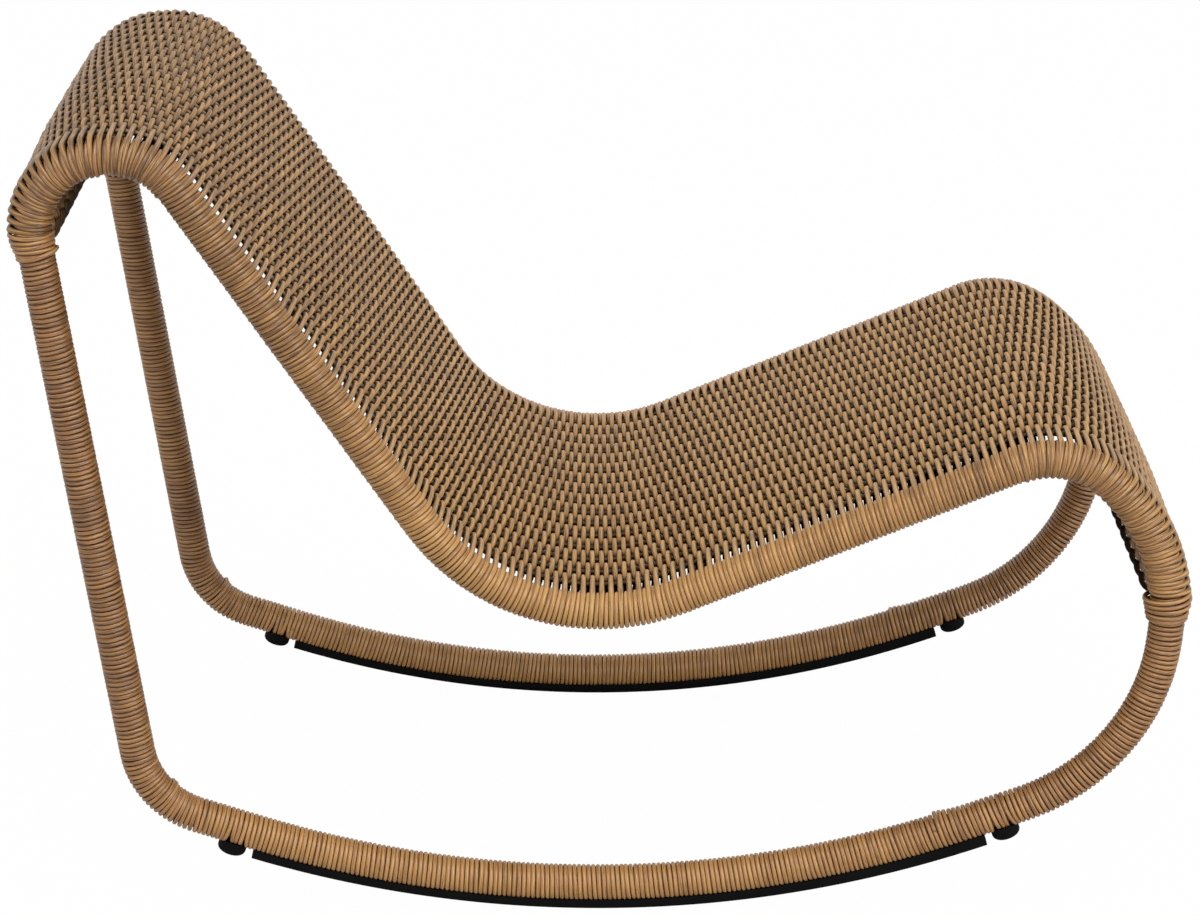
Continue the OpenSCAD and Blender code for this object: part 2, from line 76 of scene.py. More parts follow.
class Shading:
    """A material's or world's node tree, emptied, with the means to fill it."""

    def __init__(self, owner: bpy.types.Material | bpy.types.World) -> None:
        """Switches the owner to nodes and clears them."""
        owner.use_nodes = True
        self.tree = owner.node_tree
        self.tree.nodes.clear()

    def add(self, kind: str, inputs: Optional[dict] = None, **settings: object) -> bpy.types.Node:
        """Adds one shader node.

        Args:
            kind: Blender's name of the node type, without ShaderNode.
            inputs: Input values to set, or sockets to link from, by input name or number.
            settings: Attributes of the node to set.

        Returns:
            The new node.
        """
        node = self.tree.nodes.new("ShaderNode" + kind)
        for key, value in settings.items():
            setattr(node, key, value)
        for key, value in (inputs or {}).items():
            if isinstance(value, bpy.types.NodeSocket):
                self.tree.links.new(value, node.inputs[key])
            else:
                node.inputs[key].default_value = value
        return node

    def attribute(self, name: str, output: str = "Fac") -> bpy.types.NodeSocket:
        """Reads a mesh attribute."""
        return self.add("Attribute", attribute_name=name).outputs[output]

    def scaled(
        self, value: bpy.types.NodeSocket, by: float, plus: float | bpy.types.NodeSocket = 0.0
    ) -> bpy.types.NodeSocket:
        """Multiplies a value by a number and adds another value."""
        inputs = {0: value, 1: by, 2: plus}
        return self.add("Math", inputs, operation="MULTIPLY_ADD").outputs[0]

    def noise(self, place: bpy.types.NodeSocket, **inputs: float) -> bpy.types.NodeSocket:
        """Adds noise at a place, with the named inputs."""
        return self.add("TexNoise", {"Vector": place, **inputs}).outputs["Fac"]


def add_object(name: str, data: bpy.types.ID) -> bpy.types.Object:
    """Adds an object with this mesh, light or camera to the scene."""
    thing = bpy.data.objects.new(name, data)
    bpy.context.scene.collection.objects.link(thing)
    return thing


class Wander:
    """Smooth random drift along a length, the same each time the script runs."""

    KNOTS = 8192

    def __init__(self, seed: int, step: float) -> None:
        """Draws the knots of the drift.

        Args:
            seed: Number that picks the drift.
            step: Distance between two knots, in the unit of the later queries.
        """
        self.step = step
        self.knots = np.random.default_rng(seed).uniform(-1.0, 1.0, self.KNOTS)

    def at(self, x: np.ndarray) -> np.ndarray:
        """Returns the drift, from -1 to 1, at the positions x."""
        place = np.asarray(x, float) / self.step
        low = np.floor(place).astype(int)
        part = place - low
        ease = part * part * (3 - 2 * part)
        first = self.knots[low % self.KNOTS]
        second = self.knots[(low + 1) % self.KNOTS]
        return first + (second - first) * ease


class Side(Enum):
    """The two side loops; the value is the sign of Y."""

    RIGHT = -1
    LEFT = 1

    @property
    def word(self) -> str:
        """The side's name as it stands in the node names."""
        return self.name.lower()


# ---- the side loop


@dataclass(frozen=True)
class Corner:
    """A corner of the side loop: its place in the loop's plane and its bend radius."""

    x: float
    z: float
    radius: float


@dataclass
class SideLoop:
    """Centre line of the frame tube: eight bends joined by straight runs.

    Distance s runs along it from the top of the heel bend over the runner, toe, shin, knee,
    seat, brow and crown, and down the rear leg.
    """

    corners: tuple[Corner, ...] = (
        Corner(-437.6, 144.9, 81),
        Corner(0, 0, 1015),
        Corner(504, 182.8, 195),
        Corner(519.8, 405.7, 168),
        Corner(415.9, 497.8, 80),
        Corner(-85.4, 288.4, 197),
        Corner(-412.2, 770.6, 62),
        Corner(-528.6, 763.3, 66),
    )
    shift_x: float = 2.248
    ground: float = 36.159
    starts: np.ndarray = field(init=False)

    def __post_init__(self) -> None:
        """Works out the bends and runs from the corners."""
        places = np.array([(c.x, c.z) for c in self.corners], float)
        radii = np.array([c.radius for c in self.corners], float)
        headings = np.roll(places, -1, axis=0) - places
        gaps = np.linalg.norm(headings, axis=1)
        after = headings / gaps[:, None]
        angles = np.arctan2(after[:, 1], after[:, 0])
        before = np.roll(angles, 1)
        turns = (angles - before + math.pi) % TURN - math.pi
        self.signs = np.sign(turns)
        tangents = radii * np.tan(np.abs(turns) / 2)
        self.arcs = radii * np.abs(turns)
        first = np.roll(after, 1, axis=0)
        left = np.stack([-first[:, 1], first[:, 0]], axis=1)
        arc_from = places - first * tangents[:, None]
        self.centres = arc_from + left * (radii * self.signs)[:, None]
        self.radii = radii
        self.entry = before
        spans = self.arcs + (gaps - tangents - np.roll(tangents, -1))
        self.starts = np.concatenate([[0.0], np.cumsum(spans)[:-1]])
        self.length = float(spans.sum())

    def bend_start(self, index: int) -> float:
        """Distance along the loop to the start of bend number index."""
        return float(self.starts[index])

    def bend_end(self, index: int) -> float:
        """Distance along the loop to the end of bend number index."""
        return float(self.starts[index] + self.arcs[index])

    def stations(self, s: np.ndarray) -> tuple[np.ndarray, np.ndarray, np.ndarray]:
        """Finds the loop's axis at the distances s.

        Args:
            s: Distances along the loop.

        Returns:
            Points in the loop's plane, outward directions, and the signed curvature,
            which is positive where the outward side is the outside of a bend.
        """
        s = np.asarray(s, float) % self.length
        i = np.searchsorted(self.starts, s, side="right") - 1
        along = s - self.starts[i]
        bent = np.minimum(along, self.arcs[i])
        angle = self.entry[i] + self.signs[i] * bent / self.radii[i]
        heading = np.stack([np.cos(angle), np.sin(angle)], axis=-1)
        left = np.stack([-heading[..., 1], heading[..., 0]], axis=-1)
        on_arc = self.centres[i] - left * (self.radii[i] * self.signs[i])[..., None]
        past = (along - bent)[..., None]
        points = on_arc + heading * past
        curvature = np.where(along <= self.arcs[i], self.signs[i] / self.radii[i], 0.0)
        return points, -left, curvature

    def facing(self, s: np.ndarray, across: np.ndarray, out: np.ndarray) -> np.ndarray:
        """Turns parts across the chair and outward into directions at the distances s."""
        _, outward, _ = self.stations(s)
        flat = outward * np.asarray(out, float)[..., None]
        return np.stack(
            [flat[..., 0], np.broadcast_to(across, flat[..., 0].shape), flat[..., 1]], axis=-1
        )

    def place(self, s: np.ndarray, y: np.ndarray, height: np.ndarray) -> np.ndarray:
        """Turns loop distances, Y and heights above the tube axis into chair points.

        Args:
            s: Distances along the loop.
            y: Positions across the chair.
            height: Distances outward from the tube axis.

        Returns:
            Points in metres, one row each.
        """
        points, outward, _ = self.stations(s)
        flat = points + outward * np.asarray(height, float)[..., None]
        x = flat[..., 0] + self.shift_x
        z = flat[..., 1] - self.ground
        return np.stack([x, np.broadcast_to(y, x.shape), z], axis=-1) * MM


# ---- the strand


@dataclass
class Strand:
    """One length of cane: its path in metres and its tone, one or by point, from -1, dark, to 1.

    Its tone carries painted light as well as the cane's own. Shade, from 0 to 1 along
    the path, is painted shade where it lies low between its neighbours, facing is the
    direction in which it is seen, which sets the painted shade on its sides, and girth is
    its width against the stock's.
    """

    path: np.ndarray
    tone: float | np.ndarray = 0.0
    shade: Optional[np.ndarray] = None
    facing: Optional[np.ndarray] = None
    girth: Optional[np.ndarray] = None


@dataclass
class CaneStock:
    """The round synthetic cane that everything here is wound and woven from."""

    radius: float = 2.22
    faces_round: int = 8
    # Painted shade on the sides of a strand, where it lies against its neighbours: how dark
    # it is, and how fast the dark ends towards its seen side
    crease_shade: float = 0.85
    crease_fall: float = 1.9
    # Drift of the tone along a strand: knot distance in metres, and its share
    drift_step: float = 0.11
    drift_share: float = 0.2

    def lay(
        self,
        name: str,
        strands: Sequence[Strand],
        material: bpy.types.Material,
        slot: str,
        node: str,
        radius: float = 0.0,
    ) -> None:
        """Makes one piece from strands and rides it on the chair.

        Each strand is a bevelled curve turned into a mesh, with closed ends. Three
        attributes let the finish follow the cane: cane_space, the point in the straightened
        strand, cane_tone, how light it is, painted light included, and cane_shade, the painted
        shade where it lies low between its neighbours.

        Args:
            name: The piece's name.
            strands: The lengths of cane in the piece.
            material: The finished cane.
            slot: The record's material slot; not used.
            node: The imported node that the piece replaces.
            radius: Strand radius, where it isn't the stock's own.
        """
        size = radius or self.radius
        curve = bpy.data.curves.new(name + "_lay", "CURVE")
        curve.dimensions = "3D"
        curve.bevel_depth = size * MM
        curve.bevel_resolution = (self.faces_round - 4) // 2
        for strand in strands:
            spline = curve.splines.new("POLY")
            spline.points.add(len(strand.path) - 1)
            padded = np.concatenate([strand.path, np.ones((len(strand.path), 1))], axis=1)
            spline.points.foreach_set("co", padded.astype(np.float32).ravel())
            if strand.girth is not None:
                spline.points.foreach_set("radius", strand.girth.astype(np.float32))
        holder = bpy.data.objects.new(name + "_lay", curve)
        mesh = bpy.data.meshes.new_from_object(holder)
        mesh.name = name
        bpy.data.objects.remove(holder)
        bpy.data.curves.remove(curve)
        self._mark(mesh, strands, size)
        self._close_ends(mesh)
        piece = add_object(name, mesh)
        piece.data.materials.append(material)
        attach(piece, "root")
        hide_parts(node)
        log.info("%s: %d faces", name, len(mesh.polygons))

    def _mark(self, mesh: bpy.types.Mesh, strands: Sequence[Strand], size: float) -> None:
        """Writes cane_space, cane_tone and cane_shade, the painted shade, on the vertices, ring by
        ring.

        Args:
            mesh: The mesh of all strands, with its rings in the strands' order.
            strands: The strands that it was made from.
            size: Strand radius in millimetres.
        """
        drift = Wander(77, self.drift_step)
        corners = np.empty(len(mesh.vertices) * 3, np.float32)
        mesh.vertices.foreach_get("co", corners)
        corners = corners.reshape(-1, self.faces_round, 3)
        done = 0
        around = np.arange(self.faces_round) * TURN / self.faces_round
        space, tone, shade = [], [], []
        for number, strand in enumerate(strands):
            steps = np.linalg.norm(np.diff(strand.path, axis=0), axis=1)
            along = np.concatenate([[0.0], np.cumsum(steps)]) + number * 0.731
            ring = np.empty((len(along), self.faces_round, 3))
            ring[..., 0] = np.cos(around) * size * MM
            ring[..., 1] = np.sin(around) * size * MM
            ring[..., 2] = along[:, None]
            space.append(ring.reshape(-1, 3))
            light = strand.tone + self.drift_share * drift.at(along + number * 7.7)
            tone.append(np.repeat(np.clip(light, -1, 1), self.faces_round))
            painted_dark = np.zeros(len(along)) if strand.shade is None else strand.shade
            painted_dark = np.repeat(painted_dark, self.faces_round)
            # Painted shade on the sides of the strand that turn away from where it is seen
            if strand.facing is not None:
                rings = corners[done : done + len(along)] - strand.path[:, None, :]
                rings /= np.linalg.norm(rings, axis=2, keepdims=True)
                seen = np.einsum("ijk,ik->ij", rings, strand.facing).ravel()
                side = np.clip(1.0 - self.crease_fall * seen, 0, 1) * self.crease_shade
                painted_dark = 1 - (1 - painted_dark) * (1 - side)
            done += len(along)
            shade.append(painted_dark)
        rows = np.concatenate(space)
        if len(rows) != len(mesh.vertices):
            raise ValueError(f"{mesh.name}: {len(mesh.vertices)} vertices for {len(rows)} rows")
        kept = mesh.attributes.new("cane_space", "FLOAT_VECTOR", "POINT")
        kept.data.foreach_set("vector", rows.astype(np.float32).ravel())
        for name, values in (("cane_tone", tone), ("cane_shade", shade)):
            kept = mesh.attributes.new(name, "FLOAT", "POINT")
            kept.data.foreach_set("value", np.concatenate(values).astype(np.float32))

    @staticmethod
    def _close_ends(mesh: bpy.types.Mesh) -> None:
        """Closes the open ends of every strand."""
        shape = bmesh.new()
        shape.from_mesh(mesh)
        rims = [edge for edge in shape.edges if edge.is_boundary]
        bmesh.ops.holes_fill(shape, edges=rims, sides=0)
        shape.to_mesh(mesh)
        shape.free()


# ---- finishes


@dataclass(frozen=True)
class CaneFinish:
    """Extruded polyethylene cane: tan, with fine lengthwise streaks and a soft sheen."""

    name: str
    light: str
    body: str
    dark: str
    # Colour of the painted shade, near black, where the cane lies low between its neighbours
    painted_dark: str = "#100804"
    roughness: float = 0.4
    streak_mm: float = 0.55
    streak_length_mm: float = 22.0
    # Where dark, body and light lie on the streaks' noise, and how far tone moves it
    stops_at: tuple[float, float, float] = (0.36, 0.5, 0.66)
    tone_share: float = 0.12
    # Depth of the extrusion lines in metres, a tenth of a millimetre
    line_depth: float = 0.0001
    # Specular level, and the lower one under painted shade
    sheen: float = 0.9
    shaded_sheen: float = 0.05

    def make(self) -> bpy.types.Material:
        """Builds the material, which reads cane_space, cane_tone and the painted shade in
        cane_shade.
        """
        material = bpy.data.materials.new(self.name)
        nodes = Shading(material)
        across = 1000.0 / self.streak_mm
        along = 1000.0 / self.streak_length_mm
        place = {"Vector": nodes.attribute("cane_space", "Vector")}
        streaked = nodes.add("Mapping", place | {"Scale": (across, across, along)}).outputs[0]
        streaks = nodes.noise(streaked, Scale=1.0, Detail=3.0, Roughness=0.55)
        lift = nodes.scaled(nodes.attribute("cane_tone"), self.tone_share, streaks)
        ramp = nodes.add("ValToRGB", {"Fac": lift})
        stops = ramp.color_ramp.elements
        stops[0].position, stops[0].color = self.stops_at[0], linear(self.dark)
        stops[1].position, stops[1].color = self.stops_at[2], linear(self.light)
        middle = stops.new(self.stops_at[1])
        middle.color = linear(self.body)
        # Painted shade: cane_shade darkens the cane towards the painted dark colour and takes its
        # sheen where it dips between its neighbours
        shade_amount = nodes.attribute("cane_shade")
        colours = {0: shade_amount, 6: ramp.outputs["Color"], 7: linear(self.painted_dark)}
        shaded = nodes.add("Mix", colours, data_type="RGBA").outputs[2]
        sheen = nodes.scaled(shade_amount, self.shaded_sheen - self.sheen, self.sheen)
        lines = {"Strength": 0.35, "Distance": self.line_depth, "Height": streaks}
        surface = {
            "Base Color": shaded,
            "Roughness": self.roughness,
            "IOR": 1.5,
            "Specular IOR Level": sheen,
            "Normal": nodes.add("Bump", lines).outputs["Normal"],
        }
        shader = nodes.add("BsdfPrincipled", surface).outputs["BSDF"]
        nodes.add("OutputMaterial", {"Surface": shader})
        return material


@dataclass(frozen=True)
class SolidFinish:
    """A finish with a faint cloud in its colour and a fine bump, on Object coordinates."""

    name: str
    colour: str
    second: str
    roughness: float
    metallic: float = 0.0
    cloud_mm: float = 30.0
    grain_mm: float = 1.2
    bump: float = 0.2
    specular: float = 0.5
    # Depth of the grain in metres
    grain_depth: float = 0.0002

    def make(self) -> bpy.types.Material:
        """Builds the material."""
        material = bpy.data.materials.new(self.name)
        nodes = Shading(material)
        place = nodes.add("TexCoord").outputs["Object"]
        cloud = nodes.noise(place, Scale=1000.0 / self.cloud_mm, Detail=4.0)
        grain = nodes.noise(place, Scale=1000.0 / self.grain_mm, Detail=2.0)
        ramp = nodes.add("ValToRGB", {"Fac": cloud})
        stops = ramp.color_ramp.elements
        stops[0].position, stops[0].color = 0.35, linear(self.colour)
        stops[1].position, stops[1].color = 0.65, linear(self.second)
        pits = {"Strength": self.bump, "Distance": self.grain_depth, "Height": grain}
        surface = {
            "Base Color": ramp.outputs["Color"],
            "Roughness": self.roughness,
            "Metallic": self.metallic,
            "Specular IOR Level": self.specular,
            "Normal": nodes.add("Bump", pits).outputs["Normal"],
        }
        shader = nodes.add("BsdfPrincipled", surface).outputs["BSDF"]
        nodes.add("OutputMaterial", {"Surface": shader})
        return material


# Poly rattan, extruded round: warm tan with darker lengthwise streaks, satin
WOVEN_CANE = CaneFinish("woven_poly_cane", "#c99b58", "#ac7d3f", "#6b4a20")
# The same cane where it is wound close on the tube
WOUND_CANE = CaneFinish("wound_poly_cane", "#ca9959", "#a57340", "#623f20")
# The stakes carry the same cane, painted darker for the shade under the wefts
SHADED_STAKE_CANE = CaneFinish("stake_poly_cane_painted_shade", "#b48f62", "#92704a", "#5a4028")
# Brown powder coat on the steel tube, seen only through the gaps
POWDER_COAT = SolidFinish("brown_powder_coat", "#4a3726", "#54402d", 0.5, bump=0.3)
# Turned aluminium of the joint sleeves, hidden in the tube
BARE_SLEEVE = SolidFinish("turned_aluminium", "#c9cacc", "#bfc1c4", 0.35, 1.0)
# Moulded rubber of the runner strips and feet: near black, dull
RUBBER = SolidFinish("moulded_rubber", "#050506", "#09090a", 0.7, bump=0.25, specular=0.12)
# Bright zinc on the screws
ZINC = SolidFinish("zinc_plate", "#b9bcbf", "#a9acb0", 0.3, 1.0)


# ---- woven sheet


@dataclass
class OnFrame:
    """What the sheet, windings and lashings share: loop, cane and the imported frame's sizes.

    The start and the end of the weave are distances along the loop.
    """

    loop: SideLoop
    stock: CaneStock
    half_width: float = 265.5
    tube_radius: float = 12.5
    weave_start: float = 1152.3
    weave_end: float = 2542.7
    # The end bars: how far in from the weave's end, below the tube axis, and their radius
    bar_inset: float = 6.0
    bar_drop: float = 3.0
    bar_radius: float = 9.5
    # Room between the cane and what it lies on
    slack: float = 0.1


@dataclass
class WovenSheet(OnFrame):
    """The sheet: sixteen stakes from head to feet, and a weft wound to and fro over them.

    Each weft leaves one rail from below, passes under and over the stakes in turn and
    comes over the top of the other rail. Between two wefts the strand goes once more
    round the rail alone.
    """

    stake_count: int = 16
    stake_radius: float = 2.6
    pitch: float = 4.4
    steps_between: int = 6
    # Degrees from the rail's top at which a weft lands there, and at which the next leaves
    land_angle: float = 13.0
    leave_angle: float = 229.4
    # Below 1, the floats of a weft are flat and its dips narrow
    wave_power: float = 0.55
    # How far the first stake sinks on the left side, where the sheet was left looser, and
    # the share of the crest that the wefts have there
    left_sag: float = 1.0
    left_crest: float = 0.1
    # Height of the stakes above the tube axis, by distance along the loop
    lift_at: tuple[float, ...] = (1152, 1215, 1330, 1560, 1840, 2010, 2180, 2330, 2420, 2490, 2543)
    lift_is: tuple[float, ...] = (18.0, 16.6, 16.4, 16.5, 17.4, 20.0, 21.7, 21.2, 19.4, 18.3, 18.0)
    # Height of the first stake on the right side, where the strand pulls the sheet down
    edge_at: tuple[float, ...] = (1152, 1980, 2150, 2360, 2440, 2543)
    edge_is: tuple[float, ...] = (14.0, 14.0, 15.2, 15.4, 14.6, 14.0)
    # How far an arriving weft rides on the turn of the rail below it: fully at both ends
    crest_at: tuple[float, ...] = (1152, 1290, 1400, 2350, 2440, 2543)
    crest_is: tuple[float, ...] = (5.2, 3.4, 0.6, 0.6, 4.4, 5.6)
    # Where wefts ride on the turns: wefts that the strand has advanced by its angle
    tuck_at: tuple[float, ...] = (13, 90, 180, 270, 345, 372, 400, 425, 455, 540)
    tuck_is: tuple[float, ...] = (0, 0.21, 0.44, 0.42, 0.3, 0.36, 0.72, 1.02, 1.22, 1.5)
    # Painted shade on the stakes, darkest in the seat and faint on the back, by distance along the
    # loop
    stake_shade_at: tuple[float, ...] = (1152.3, 1980, 2150, 2542.7)
    stake_shade_is: tuple[float, ...] = (0.75, 0.75, 0.05, 0.1)
    # Painted light: tone of the turns on the rails by distance along the loop, lighter over the
    # seat and darker on the back and head
    painted_light_at: tuple[float, ...] = (1152, 1400, 1560, 1760, 1960, 2200)
    painted_light_is: tuple[float, ...] = (-0.15, -0.25, 0.2, 0.7, 0.3, -0.55)
    # Painted light: tone of the wefts across the sheet by distance along the loop, lighter in the
    # seat and darker at the head
    weft_painted_light_at: tuple[float, ...] = (1152, 1300, 1400, 1600, 1800, 2050, 2200, 2360, 2480, 2543)
    weft_painted_light_is: tuple[float, ...] = (0.0, 0.1, 0.3, 0.4, 0.15, -0.05, -0.4, -0.45, -0.65, -0.55)

    def __post_init__(self) -> None:
        """Sets the positions that follow from the sizes."""
        self.stake_gap = 2 * self.half_width / (self.stake_count + 1)
        self.stake_y = (np.arange(self.stake_count) - (self.stake_count - 1) / 2) * self.stake_gap
        self.hug = self.tube_radius + self.stock.radius + self.slack
        self.swing = self.stock.radius + self.stake_radius - 0.2
        self.land = math.radians(self.land_angle)
        self.grid = np.arange(self.weave_start + self.stock.radius, self.weave_end + 40.0, 0.5)
        _, _, curvature = self.loop.stations(self.grid)
        soft = np.convolve(np.pad(curvature, 6, mode="edge"), np.ones(13) / 13, "valid")
        reach = np.where(soft > 0, 1.05, 0.75) * self.lift(self.grid)
        per_mm = (1 + soft * reach) / self.pitch
        self.count_at = np.concatenate([[0.0], np.cumsum(per_mm[:-1] * 0.5)])
        last = np.interp(self.weave_end, self.grid, self.count_at)
        self.wefts = int(last) // 2 * 2
        self.drift = Wander(5, 38.0)
        loose = np.random.default_rng(11).normal(0, 0.05, self.wefts + 4)
        self.weft_shift = loose + 0.3 * Wander(11, 9.0).at(np.arange(self.wefts + 4))
        self.weft_tone = np.random.default_rng(12).normal(0, 0.12, self.wefts + 4)

    def weft_s(self, number: np.ndarray) -> np.ndarray:
        """Distance along the loop to a weft, or to a part of the way to the next one.

        Spaced so that the wefts lie evenly at the height of the sheet, closer on the tube
        where it bends outward and wider in the seat.
        """
        return np.interp(number, self.count_at, self.grid)

    def lift(self, s: np.ndarray) -> np.ndarray:
        """Height of the stakes above the tube axis at the distances s, mid-sheet."""
        return np.interp(s, self.lift_at, self.lift_is)

    def height(self, s: np.ndarray, y: np.ndarray) -> np.ndarray:
        """Height of the stakes at s and y, lower by the rails, which pull the sheet down."""
        middle = self.lift(s)
        gap = (self.half_width - np.abs(y)) / self.stake_gap
        edge = np.interp(s, self.edge_at, self.edge_is)
        most = np.where(np.asarray(y) < 0, middle - edge, self.left_sag)
        return middle - most * np.clip(1.2 - 0.2 * gap, 0, 1)

    def crest(self, s: np.ndarray) -> np.ndarray:
        """How far an arriving weft rides on the turn below it, at the distances s."""
        return np.interp(s, self.crest_at, self.crest_is)

    def advance(self, number: int, angle: np.ndarray) -> np.ndarray:
        """Where the strand is after it landed on the rail as weft number, in wefts.

        Where wefts ride on the turns, each turn tucks in below its own weft before both
        spread evenly over the outer side; elsewhere it runs on as a plain helix.

        Args:
            number: The weft.
            angle: Angles from the outward direction, growing as the strand runs on.

        Returns:
            Places along the sheet, counted in wefts.
        """
        share = float(self.crest(self.weft_s(number))) / max(self.crest_is)
        even = (angle - self.land) / TURN
        tucked = np.interp(np.degrees(angle), self.tuck_at, self.tuck_is)
        return number + np.minimum(even + share * (tucked - even), 1.5)

    def hugging(
        self, side: float, number: np.ndarray, angle: np.ndarray, pushed: bool, crest: float = 0.0
    ) -> tuple[np.ndarray, np.ndarray]:
        """Points of a turn that lies on the rail.

        Args:
            side: Sign of Y of the rail.
            number: Places along the sheet, counted in wefts.
            angle: Angles from the outward direction, towards the outer side.
            pushed: Whether this turn gives way where its neighbours crowd it.
            crest: Extra height on top of the rail, gone a sixth of a turn further.

        Returns:
            Points in metres, and the directions away from the rail's axis.
        """
        s = self.weft_s(number)
        reach = np.full(len(s), self.hug)
        if pushed:
            _, _, curvature = self.loop.stations(s)
            spacing = self.weft_s(number + 0.5) - self.weft_s(number - 0.5)
            full = 2 * self.stock.radius
            room = np.minimum(spacing * (1 + curvature * self.hug * np.cos(angle)), full)
            reach = reach + 0.45 * np.sqrt(full**2 - room**2)
        fall = np.clip(angle / math.radians(68.0), 0, 1)
        reach = reach + crest * (1 - fall * fall * (3 - 2 * fall))
        reach = reach + 0.12 * self.drift.at(s * 9.0 + angle * 14)
        y = side * (self.half_width + reach * np.sin(angle))
        points = self.loop.place(s, y, reach * np.cos(angle))
        return points, self.loop.facing(s, side * np.sin(angle), np.cos(angle))

    def weft(self, number: int) -> Strand:
        """One pass of the strand across the chair.

        Args:
            number: The weft, counted from the shins.

        Returns:
            The strand from below one rail to the inside of the other.
        """
        go = 1.0 if number % 2 else -1.0
        here = float(self.weft_s(number))
        shift = self.weft_shift[number]
        # Leaving: from the bottom of the rail up its inner side
        angle = np.radians(np.array([180.0, 197.0, 214.0, 229.0]))
        leave, left_at = self.hugging(-go, np.full(len(angle), number + 0.5), angle, True)
        # The rise under the first stake
        tip = math.radians(self.leave_angle - 180)
        first = float(self.height(here, -go * (self.half_width - self.stake_gap)))
        last = float(self.height(here, go * (self.half_width - self.stake_gap)))
        u = np.array([0.2, 0.4, 0.6, 0.8])
        rise = self._hermite(
            np.array([self.hug * math.sin(tip), -self.hug * math.cos(tip)]),
            np.array([math.cos(tip), math.sin(tip)]) * 24,
            np.array([self.stake_gap, first - self.swing]),
            np.array([20.0, 1.5]),
            u,
        )
        s_rise = self.weft_s(number + 0.5 * (1 - u) ** 0.8) + shift * u
        rising = self.loop.place(s_rise, -go * (self.half_width - rise[:, 0]), rise[:, 1])
        # Across: under and over the stakes in turn
        count = (self.stake_count - 1) * self.steps_between
        k = np.arange(count + 1) / self.steps_between
        y_across = -go * (self.half_width - self.stake_gap * (k + 1))
        wave = -np.cos(k * math.pi)
        flatter = np.sign(wave) * np.abs(wave) ** self.wave_power
        sway = self.drift.at(np.full(len(k), number * 6.0) + y_across * 0.45)
        s_across = here + shift + 0.35 * sway
        height = self.height(s_across, y_across)
        height = height + self.swing * flatter * (0.97 + 0.03 * sway)
        across = self.loop.place(s_across, y_across, height)
        # Arriving: off the last stake onto the top of the rail, round it to its inner side
        crest = float(self.crest(here)) * (1.0 if go < 0 else self.left_crest)
        top = self.land
        u = np.array([0.17, 0.34, 0.51, 0.68, 0.85])
        down = self._hermite(
            np.array([self.stake_gap, last + self.swing]),
            np.array([-22.0, -1.0]),
            np.array([-math.sin(top), math.cos(top)]) * (self.hug + crest * 0.9),
            np.array([-math.cos(top), -math.sin(top)]) * 20,
            u,
        )
        y_down = go * (self.half_width - down[:, 0])
        landing = self.loop.place(here + shift * (1 - u), y_down, down[:, 1])
        angle = np.linspace(top, 1.5 * math.pi, 12)
        around, around_at = self.hugging(go, self.advance(number, angle), angle, False, crest)
        path = np.concatenate([leave, rising, across, landing, around])
        flat = np.concatenate([s_rise, s_across, np.full(len(landing), here)])
        sheet = self.loop.facing(flat, 0.0, np.ones(len(flat)))
        facing = np.concatenate([left_at, sheet, around_at])
        # The cane is broader than it is thick, and floats on its flat side
        girth = np.concatenate(
            [
                np.ones(len(leave)),
                np.full(len(rising), 1.1),
                1.14 + 0.06 * np.clip(3 * wave, -1, 1),
                np.linspace(1.2, 1.3, len(landing)),
                np.interp(np.degrees(angle), (13, 100, 180), (1.3, 1.1, 1.0)),
            ]
        )
        # Painted shade: the weft is darker where it leaves the rail, near black where it rises
        # under the first stake, and dark in the dips under the stakes
        shade = np.concatenate(
            [
                np.full(len(leave), 0.4),
                np.ones(len(rising)),
                np.clip(0.3 - 1.5 * wave, 0, 1),
                np.zeros(len(landing) + len(around)),
            ]
        )
        tone = np.full(len(path), self.weft_tone[number])
        # Painted light from the tables, on top of each weft's own random tone
        tone[: -len(around)] += np.interp(here, self.weft_painted_light_at, self.weft_painted_light_is)
        tone[-len(around) :] += np.interp(here, self.painted_light_at, self.painted_light_is)
        return Strand(path, tone, shade, facing, girth)

    @staticmethod
    def _hermite(
        start: np.ndarray, out: np.ndarray, end: np.ndarray, into: np.ndarray, u: np.ndarray
    ) -> np.ndarray:
        """Points of the cubic from start to end with the slopes out and into, at u."""
        u = u[:, None]
        return (
            (2 * u**3 - 3 * u**2 + 1) * start
            + (u**3 - 2 * u**2 + u) * out
            + (-2 * u**3 + 3 * u**2) * end
            + (u**3 - u**2) * into
        )

    def rail_turn(self, side: Side, number: int) -> Strand:
        """The turn round the rail alone that follows the arrival of a weft.

        Args:
            side: The rail.
            number: The weft that arrives there.

        Returns:
            The strand from the inner side of the rail round to its bottom.
        """
        angle = np.linspace(1.5 * math.pi, 3 * math.pi, 18)
        places = self.advance(number, angle)
        path, facing = self.hugging(float(side.value), places, angle, True)
        # Painted light from the table, on top of the weft's own random tone
        tone = np.interp(self.weft_s(places), self.painted_light_at, self.painted_light_is)
        return Strand(path, tone + 0.8 * self.weft_tone[number], facing=facing)

    def stake(self, number: int) -> Strand:
        """One stake, hooked round the end bars at both ends."""
        y0 = float(self.stake_y[number])
        s = np.arange(self.weave_start, self.weave_end + 0.1, 6.0)
        y = y0 + 0.5 * self.drift.at(s * 0.3 + number * 311.0)
        middle = self.loop.place(s, y, self.height(s, np.full(len(s), y0)))
        front = self._hook(self.weave_start, 1.0, y0)[::-1]
        rear = self._hook(self.weave_end, -1.0, y0)
        path = np.concatenate([front, middle, rear])
        ends = np.full(len(front), self.weave_start), np.full(len(rear), self.weave_end)
        places = np.concatenate([ends[0], s, ends[1]])
        # Painted shade on the stakes from the table, and painted light: the stakes are lighter on
        # the back
        shade = np.interp(places, self.stake_shade_at, self.stake_shade_is)
        tone = np.interp(places, (1980.0, 2150.0), (0.0, 1.0))
        facing = self.loop.facing(places, 0.0, np.ones(len(places)))
        return Strand(path, tone, shade, facing)

